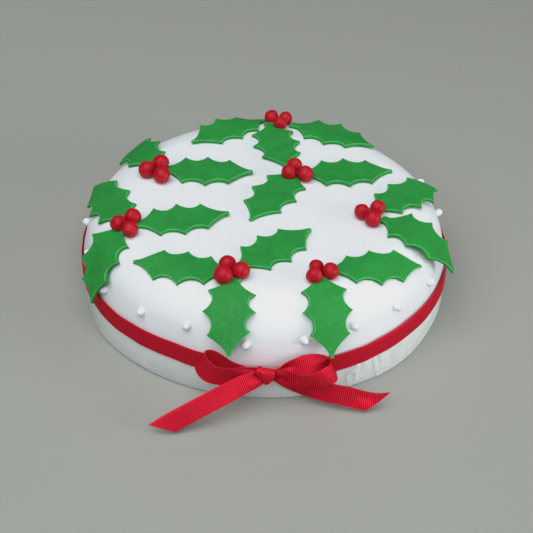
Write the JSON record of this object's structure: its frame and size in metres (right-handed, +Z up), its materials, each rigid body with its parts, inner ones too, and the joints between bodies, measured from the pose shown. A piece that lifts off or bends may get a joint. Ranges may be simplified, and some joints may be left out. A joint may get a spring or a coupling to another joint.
{
  "type": "christmas cake",
  "caption": "Round white-iced Christmas cake with sugar-paste holly leaves and red berries, icing pearls, and a red ribbon with a bow tied round its side",
  "frame": {"origin": "centre of the cake's flat foot, on the surface that it stands on", "axes": "+Z up, +X to the cake's right, -Y to its front, where the bow is"},
  "size_m": [0.2274, 0.2594, 0.0674],
  "materials": {
    "white_icing": "smooth matt white sugar icing with a faint satin sheen",
    "green_sugar_paste": "matt holly-green sugar paste, rolled and cut",
    "red_sugar_paste": "satin dark red sugar paste, rolled by hand",
    "red_ribbon": "ribbed grosgrain ribbon with a soft sheen",
    "clear_film": "thin clear film, glossy and slightly crinkled"
  },
  "bodies": {
    "root": {"berry_back_1": "red_sugar_paste", "berry_back_2": "red_sugar_paste", "berry_back_3": "red_sugar_paste", "berry_back_left_1": "red_sugar_paste", "berry_back_left_2": "red_sugar_paste", "berry_back_left_3": "red_sugar_paste", "berry_centre_1": "red_sugar_paste", "berry_centre_2": "red_sugar_paste", "berry_centre_3": "red_sugar_paste", "berry_front_left_1": "red_sugar_paste", "berry_front_left_2": "red_sugar_paste", "berry_front_left_3": "red_sugar_paste", "berry_front_right_1": "red_sugar_paste", "berry_front_right_2": "red_sugar_paste", "berry_front_right_3": "red_sugar_paste", "berry_left_1": "red_sugar_paste", "berry_left_2": "red_sugar_paste", "berry_left_3": "red_sugar_paste", "berry_right_1": "red_sugar_paste", "berry_right_2": "red_sugar_paste", "berry_right_3": "red_sugar_paste", "bow_knot": "red_ribbon", "bow_loop_left": "red_ribbon", "bow_loop_right": "red_ribbon", "bow_tail_left": "red_ribbon", "bow_tail_right": "red_ribbon", "cake": "white_icing", "clear_film": "clear_film", "leaf_back_front": "green_sugar_paste", "leaf_back_left": "green_sugar_paste", "leaf_back_left_back": "green_sugar_paste", "leaf_back_left_right": "green_sugar_paste", "leaf_back_right": "green_sugar_paste", "leaf_centre_front": "green_sugar_paste", "leaf_centre_right": "green_sugar_paste", "leaf_front_left_back": "green_sugar_paste", "leaf_front_left_front": "green_sugar_paste", "leaf_front_left_left": "green_sugar_paste", "leaf_front_right_front": "green_sugar_paste", "leaf_front_right_right": "green_sugar_paste", "leaf_left_back": "green_sugar_paste", "leaf_left_front": "green_sugar_paste", "leaf_left_right": "green_sugar_paste", "leaf_right_back": "green_sugar_paste", "leaf_right_front": "green_sugar_paste", "ribbon_band": "red_ribbon"}
  },
  "joints": []
}
